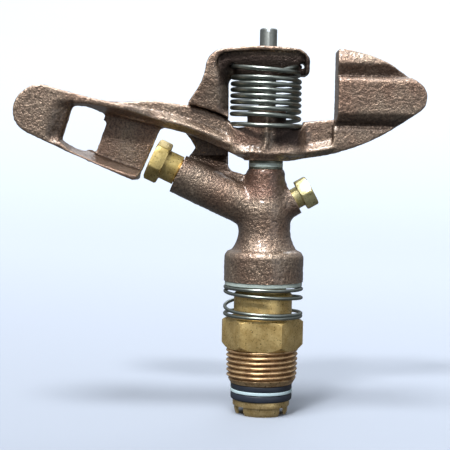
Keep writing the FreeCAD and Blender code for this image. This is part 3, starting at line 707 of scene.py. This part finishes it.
def inlet_nipple():
    """The threaded nipple: a cut taper thread under the hexagon and sleeve."""
    node = "inlet_nipple"
    source = read_points(frame["nodes"][node].data)
    away = np.hypot(source[:, 0], source[:, 1])
    crest = away[source[:, 2] < THREAD_TOP - 2.5 * MM].max()
    seat(nipple_top(node), node)
    seat(nipple_thread(crest, away.min()), node, finished=True)


def bearing_stack():
    """The washers and seals that the head turns on, and the tube through them."""
    seat_ring("thrust_washer_upper_seal", "thrust_washer_upper", 0.5 * MM, 0.25 * MM)
    seat_ring("thrust_washer_ptfe_ring", "thrust_washer_ptfe", 0.2 * MM)
    seat_ring("thrust_washer_lower_seal", "thrust_washer_lower", 0.6 * MM, 0.3 * MM)
    seat_ring("spring_seat_washer_ring", "spring_seat_washer", 0.3 * MM)
    seat_ring("tube_seal_ring_rubber", "tube_seal_ring", 0.4 * MM, 0.1 * MM)
    seat_machined("bearing_tube_turned", "bearing_tube", 0.2 * MM)


def bearing_spring():
    """A compression spring with a closed turn and more at the hexagon and one at its seat."""
    node = "bearing_spring"
    heights = [(0.0, 25.0), (0.25, 25.1), (1.0, 25.9), (1.25, 26.3), (1.4, 26.9), (1.5, 28.0)]
    heights += [(1.7, 30.4), (2.0, 31.7), (2.25, 32.7), (2.5, 33.7), (2.75, 34.5)]
    heights += [(3.0, 35.0), (3.25, 35.2), (3.9, 35.3)]
    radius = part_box(node)[1].x / MM - 0.65
    path = coil_path(heights, [(0.0, radius), (3.9, radius)])
    spring = wire("bearing_spring_wire", path, 0.64 * MM)
    install(spring, node)
    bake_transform(spring)


# ---- head -------------------------------------------------------------------------------------

def post_face(points):
    """Round the post's front towards its inner edge and bring its lip down close to the arm."""
    x, y, z = points.T
    on_post = x < -12 * MM
    inward = ease(x, -20.5 * MM, -13.0 * MM) ** 2 * 2.4 * MM
    between = ease(z, 98 * MM, 101 * MM) * (1 - ease(z, 112 * MM, 117 * MM))
    points[:, 1] += inward * between * (y < 0) * on_post
    arm_top = np.interp(x, np.array([-29.0, -20.5, -12.6]) * MM, np.array([102.3, 99.6, 96.3]) * MM)
    above = z - arm_top
    lip = (above > 0.2 * MM) * (1 - ease(above, 1.2 * MM, 4.5 * MM)) * on_post * (y < 5 * MM)
    points[:, 2] -= 0.55 * MM * lip


def body_casting():
    """The body: a cup, two nozzle bosses, the pin boss and the bridge over the arm."""
    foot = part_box("body_casting")[0].z
    pin_boss_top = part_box("arm_washer_lower")[0].z
    cuts = [
        Cut(MEETING, RANGE_AXIS, RANGE_BOSS_LENGTH, RANGE_BOSS_RADIUS + 0.3 * MM),
        Cut(MEETING, SPREADER_AXIS, SPREADER_BOSS_LENGTH, SPREADER_BOSS_RADIUS + 0.3 * MM),
        Cut((0, 0, 0), (0, 0, 1), pin_boss_top, 7.6 * MM),
        Cut((0, 0, 0), (0, 0, -1), -foot, 15.5 * MM),
    ]
    tones = {
        # Painted shade on the bridge's recessed face, on the post, under the arm and under the range boss.
        "painted_shade": [
            Patch((-18.2, -12, 108), (16.2, -2, 120.8), 1.6, 0.92),
            Patch((-17.5, -12, 98), (-12, 2, 112), 1.8, 0.7),
            Patch((-32, -7, 74), (-10, 20, 92), 2.5, 0.5),
            Patch((-30, -12, 50), (-5, 20, 58), 5.0, 0.35),
            Patch((2, -12, 68), (12, 20, 80), 3.0, 0.4),
        ],
        "warmth": [Patch((-8, -12, 68), (4, 12, 82), 2.5, 0.7)],
    }
    soft = [((0, 0, 63 * MM), 17 * MM, 90), ((-16.5 * MM, -6 * MM, 112 * MM), 7 * MM, 45)]
    piece = casting("body_casting_bronze", "body_casting", 0.395 * MM, 11, cuts, tones, post_face, soft)
    seat(piece, "body_casting", finished=True)


def nozzles():
    """Both nozzles and the vanes behind the range nozzle."""
    seat_machined("range_nozzle_brass", "range_nozzle", 0.15 * MM)
    seat_machined("spreader_nozzle_brass", "spreader_nozzle", 0.15 * MM)
    seat_machined("stream_straightener_vanes", "stream_straightener", 0.1 * MM)


def pin_and_washers():
    """The fulcrum pin and the three washers that the arm turns on."""
    seat_machined("fulcrum_pin_steel", "fulcrum_pin", 0.12 * MM)
    for node in ("arm_washer_lower", "arm_washer_friction", "arm_washer_upper"):
        seat_ring(node + "_ring", node, 0.15 * MM)


def prism(work, outline, front, back):
    """Add a solid with the given (x, z) outline, in millimetres, from front to back along Y."""
    rings = [[work.verts.new(Vector((x, y, z)) * MM) for x, z in outline] for y in (front, back)]
    count = len(outline)
    faces = [work.faces.new(rings[0]), work.faces.new(list(reversed(rings[1])))]
    for index in range(count):
        after = (index + 1) % count
        faces.append(work.faces.new((rings[0][index], rings[1][index], rings[1][after], rings[0][after])))
    bmesh.ops.recalc_face_normals(work, faces=faces)


def spoon_webs(work):
    """Small webs where the vane meets the two rails, and a fillet in the scoop's upper corner."""
    for x, z in ((-59.2, 97.6), (-65.6, 82.6)):
        left = x - 0.6
        right = x + 1.6
        prism(work, [(left, z - 2.2), (right, z - 2.2), (right, z + 2.2), (left, z + 2.2)], 1.5, 3.7)
    corner = [(-83.6, 107.4), (-82.8, 105.0), (-79.6, 104.8), (-76.5, 104.6), (-76.5, 106.0), (-80.4, 107.2)]
    prism(work, corner, -1.0, 9.8)


def roll_paddle(points):
    """Roll the paddle's edge in towards the window, which starts at a slanting line."""
    x, y, z = points.T
    from_edge = ((x + 75.3 * MM) * 13.5 - (z - 87.8 * MM) * 4.0) / 14.08
    rolled = ease(from_edge, -6.0 * MM, 1.5 * MM) * 3.2 * MM
    between = ease(z, 86.5 * MM, 90 * MM) * (1 - ease(z, 99.5 * MM, 102.5 * MM))
    here = (y < -5 * MM) & (from_edge < 1.0 * MM) & (x < -60 * MM)
    points[:, 1] += rolled * between * ease(-y, 5 * MM, 9.5 * MM) * here


def fill_hub(points):
    """Fill out the hub's sides to a drum, deeper towards its foot."""
    x, y, z = points.T
    wide = np.clip(np.abs(x) / (13.4 * MM), 0, 1)
    rim = 2.4 * MM + 0.29 * np.clip(95 * MM - z, 0, 10 * MM)
    drum = -rim - (8.0 * MM - rim) * np.sqrt(1 - wide * wide)
    in_drum = (z > 84 * MM) & (z < 95.2 * MM) & (y < 0.9 * MM) & (y > drum) & (wide < 1)
    in_drum &= np.hypot(x, y) > 6.5 * MM
    points[:, 1] += (drum - y) * np.clip((0.9 * MM - y) / (1.8 * MM), 0, 1) * in_drum


def arm_face(points):
    """Roll the paddle in, fill the hub, wrap the bead round its front and raise the rib on it."""
    roll_paddle(points)
    fill_hub(points)
    x, y, z = points.T
    side = np.abs(x)
    front = ease(-y, 2 * MM, 5 * MM) * (side < 16 * MM)
    bead = np.exp(-((z - 84.6 * MM - 0.006 * x * x / MM) / (1.5 * MM)) ** 2) * 1.5 * MM
    points[:, 1] -= front * bead * (1 - ease(side, 7.5 * MM, 14 * MM))
    lowered = (1 - ease(z, 83.5 * MM, 86.5 * MM)) * ease(side, 7.0 * MM, 8.6 * MM)
    points[:, 2] -= 0.35 * MM * lowered * (1 - ease(side, 9.5 * MM, 14 * MM))
    rib = np.exp(-((x + 0.3 * MM + 0.4 * np.maximum(88.5 * MM - z, 0)) / (1.1 * MM)) ** 2) * 1.2 * MM
    points[:, 1] -= front * rib * ease(z, 85 * MM, 86.5 * MM) * (1 - ease(z, 97.5 * MM, 99.5 * MM))


def impact_arm():
    """The arm: spoon, hub and counterweight in one casting, and the two bushes in its hub."""
    node = "impact_arm"
    hub_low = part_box("arm_bush_lower")[0].z
    hub_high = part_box("arm_bush_upper")[1].z
    cuts = [
        Cut((0, 0, 0), (0, 0, -1), -hub_low, 8.6 * MM),
        Cut((0, 0, 0), (0, 0, 1), hub_high, 7.6 * MM),
    ]
    tones = {
        # Painted shade on the hub's right side, in the spoon's scoop and in the counterweight's two grooves.
        "painted_shade": [
            Patch((2.2, -12, 87), (12.5, 4, 99), 1.6, 0.95),
            Patch((-80, -12, 82), (-74, 14, 98), 2.0, 0.35),
            Patch((20, -12, 92.5), (60, -3, 97.5), 1.0, 0.5),
            Patch((20, -12, 112.0), (60, -3, 116.5), 1.0, 0.35),
        ],
        "warmth": [Patch((-12.0, -12, 87.5), (-2.0, 4, 99), 1.5, 0.5)],
    }
    soft = [((0, side * 7 * MM, 90 * MM), 14 * MM, 20) for side in (-1, 1)]
    fair = [((side * 13 * MM, -4 * MM, z * MM), 5.5 * MM, 24) for side in (-1, 1) for z in (88, 93)]
    piece = casting("impact_arm_bronze", node, 0.405 * MM, 31, cuts, tones, arm_face, soft, fair, spoon_webs)
    seat(piece, node, finished=True)
    for bush in ("arm_bush_lower", "arm_bush_upper"):
        seat_ring(bush + "_ring", bush, 0.15 * MM)


def arm_spring():
    """A torsion spring: its lower leg bears on the arm, its upper end is laced through the bridge."""
    heights = [(-0.02, 94.8), (0.25, 94.4), (0.5, 95.2), (0.75, 96.2), (1.0, 97.3)]
    heights += [(turn + 0.25, 98.4 + 2.21 * (turn - 1)) for turn in range(1, 7)]
    heights += [(7.0, 110.9), (7.25, 111.6), (7.6, 112.5), (8.0, 113.6), (8.25, 114.5), (8.45, 115.9)]
    heights += [(8.55, 116.1), (8.75, 116.6), (8.95, 116.7), (9.05, 116.4), (9.13, 115.2), (9.18, 113.8)]
    radii = [(-0.02, 13.4), (0.1, 12.6), (0.3, 12.3), (0.5, 12.3), (0.75, 12.4), (8.3, 12.3),
             (8.5, 12.9), (8.75, 12.6), (9.0, 12.4), (9.13, 10.9), (9.18, 9.9)]
    path = coil_path(heights, radii)
    path[:, 0] -= 0.5 * MM
    spring = wire("arm_spring_wire", path, 0.8 * MM)
    install(spring, "arm_spring")
    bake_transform(spring)


# ---- surroundings -----------------------------------------------------------------------------

def stage():
    """A wide pale floor that curves up far away."""
    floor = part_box("bearing_tube")[0].z
    outline = [(0.3, 0.0), (1.0, 0.0), (1.5, 0.03), (2.0, 0.15)]
    outline += [(2.4, 0.4), (2.65, 0.8), (2.75, 1.4), (2.8, 2.6)]
    segments = 96
    points = [(0, 0, floor)]
    for radius, height in outline:
        for step in range(segments):
            angle = 2 * math.pi * step / segments
            points.append((radius * math.cos(angle), radius * math.sin(angle), floor + height))
    faces = [(0, 1 + step, 1 + (step + 1) % segments) for step in range(segments)]
    for ring in range(len(outline) - 1):
        for step in range(segments):
            here = 1 + ring * segments
            there = here + segments
            after = (step + 1) % segments
            faces.append((here + step, there + step, there + after, here + after))
    sweep = mesh_piece("floor", points, faces)
    made = Finish("pale_floor", Roughness=0.9)
    parts = made.node("SeparateXYZ", Vector=made.place)
    # Darker and bluer on the floor, lighter up the wall: painted light that evens out how bright the lamps
    # make floor and wall.
    tones = ((0.0, colour(152, 161, 174)), (0.5, colour(166, 174, 182)), (1.2, colour(188, 195, 200)))
    made.set(made.surface, {"Base Color": made.ramp(parts.outputs["Z"], *tones)})
    sweep.data.materials.append(made.material)
    sweep.visible_diffuse = False
    sweep.visible_glossy = False


def sky():
    """Soft surroundings: white above, dim below."""
    world = bpy.data.worlds.new("studio")
    SCENE.world = world
    world.use_nodes = True
    tree = world.node_tree
    direction = tree.nodes.new("ShaderNodeTexCoord").outputs["Generated"]
    parts = tree.nodes.new("ShaderNodeSeparateXYZ")
    tree.links.new(direction, parts.inputs[0])
    level = tree.nodes.new("ShaderNodeMapRange")
    level.inputs["From Min"].default_value = -1.0
    tree.links.new(parts.outputs["Z"], level.inputs["Value"])
    ramp = tree.nodes.new("ShaderNodeValToRGB")
    tree.links.new(level.outputs["Result"], ramp.inputs["Fac"])
    stops = [(0.0, 0.10), (0.35, 0.16), (0.50, 0.16), (0.62, 0.24), (0.80, 0.55), (1.0, 0.9)]
    elements = ramp.color_ramp.elements
    while len(elements) < len(stops):
        elements.new(0.5)
    for element, (place, tone) in zip(elements, stops):
        element.position = place
        element.color = (tone * 0.97, tone * 0.99, tone * 1.03, 1)
    background = tree.nodes["Background"]
    tree.links.new(ramp.outputs["Color"], background.inputs["Color"])
    background.inputs["Strength"].default_value = 1.0


def sun(name, toward, power, spread, tone):
    """A distant lamp that shines from a direction, spread over an angle in degrees."""
    light = bpy.data.lights.new(name, "SUN")
    light.energy = power
    light.angle = math.radians(spread)
    light.color = tone
    item = bpy.data.objects.new(name, light)
    SCENE.collection.objects.link(item)
    item.location = Vector(toward).normalized()
    item.rotation_euler = Vector(toward).to_track_quat("Z", "Y").to_euler()


def lights():
    """A key lamp from the upper left, one from above, a weak fill and a weak one from behind."""
    sun("key", (-0.30, -0.75, 0.75), 4.0, 12.0, (1.0, 0.98, 0.98))
    sun("top", (-0.15, -0.30, 1.0), 3.4, 22.0, (1.0, 0.99, 0.99))
    sun("fill", (0.7, -0.9, 0.1), 0.3, 40.0, (0.93, 0.96, 1.0))
    sun("back", (0.2, 0.8, 0.9), 0.6, 30.0, (0.96, 0.98, 1.0))


# ---- assembly ---------------------------------------------------------------------------------

make_camera()
inlet_nipple()
bearing_stack()
bearing_spring()
body_casting()
nozzles()
pin_and_washers()
impact_arm()
arm_spring()
stage()
sky()
lights()
SCENE.view_settings.view_transform = "Standard"
